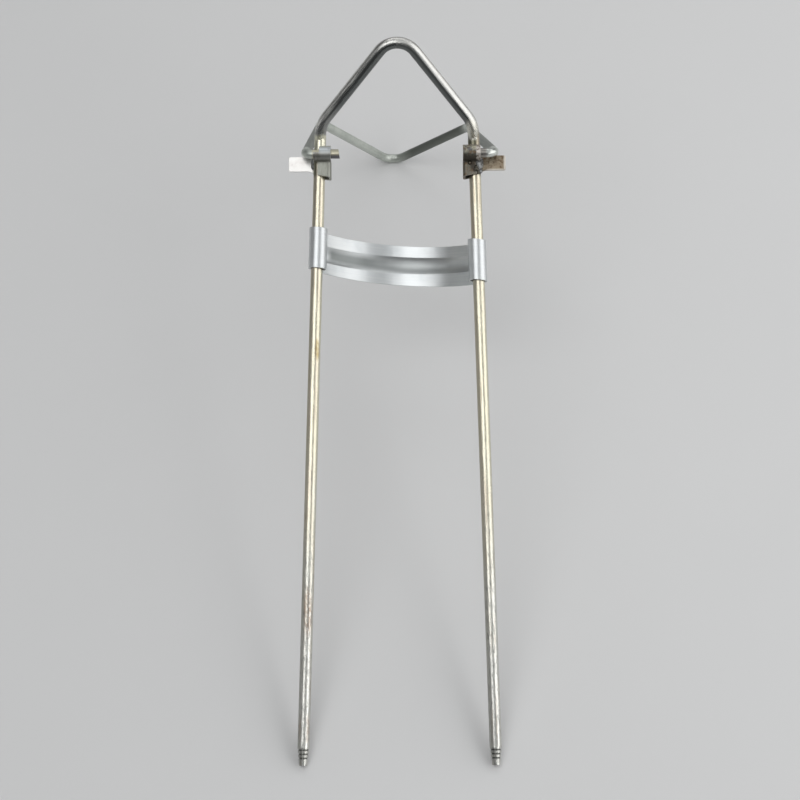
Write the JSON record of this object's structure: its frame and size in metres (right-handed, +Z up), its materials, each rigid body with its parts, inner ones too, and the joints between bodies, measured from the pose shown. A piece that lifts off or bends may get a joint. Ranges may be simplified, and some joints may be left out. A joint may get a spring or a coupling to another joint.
{
  "type": "folding rod holder",
  "caption": "Folding wire rod holder with splayed pointed legs, a bent peak, a hinged V-shaped rest on sheet clips and a sheet strap that slides along the legs.",
  "frame": {"origin": "centre of the bounding box on the ground", "axes": "+X to the right seen from the front, +Y from the leg points to the back, +Z up"},
  "size_m": [0.1118, 0.3668, 0.162],
  "materials": {
    "main_frame": "drawn rod with bright plating, slightly yellowed on the legs",
    "rod_rest": "dull zinc plated wire",
    "left_pivot_clip": "folded sheet, bright plating",
    "right_pivot_clip": "folded sheet, heat tinted by welding",
    "cradle_strap": "satin zinc plated sheet"
  },
  "bodies": {
    "frame": {"main_frame": "main_frame", "left_pivot_clip": "left_pivot_clip", "right_pivot_clip": "right_pivot_clip"},
    "rest": {"rod_rest": "rod_rest"},
    "strap": {"cradle_strap": "cradle_strap"}
  },
  "joints": [
    {"name": "rest_fold", "type": "hinge", "parent": "frame", "child": "rest", "pos_m": [0, 0.10393, 0.11618], "axis": [1, 0, 0], "range_deg": [0, 238]},
    {"name": "strap_slide", "type": "slide", "parent": "frame", "child": "strap", "axis": [0, 0.9355, 0.3533], "range_m": [0, 0.025]}
  ]
}
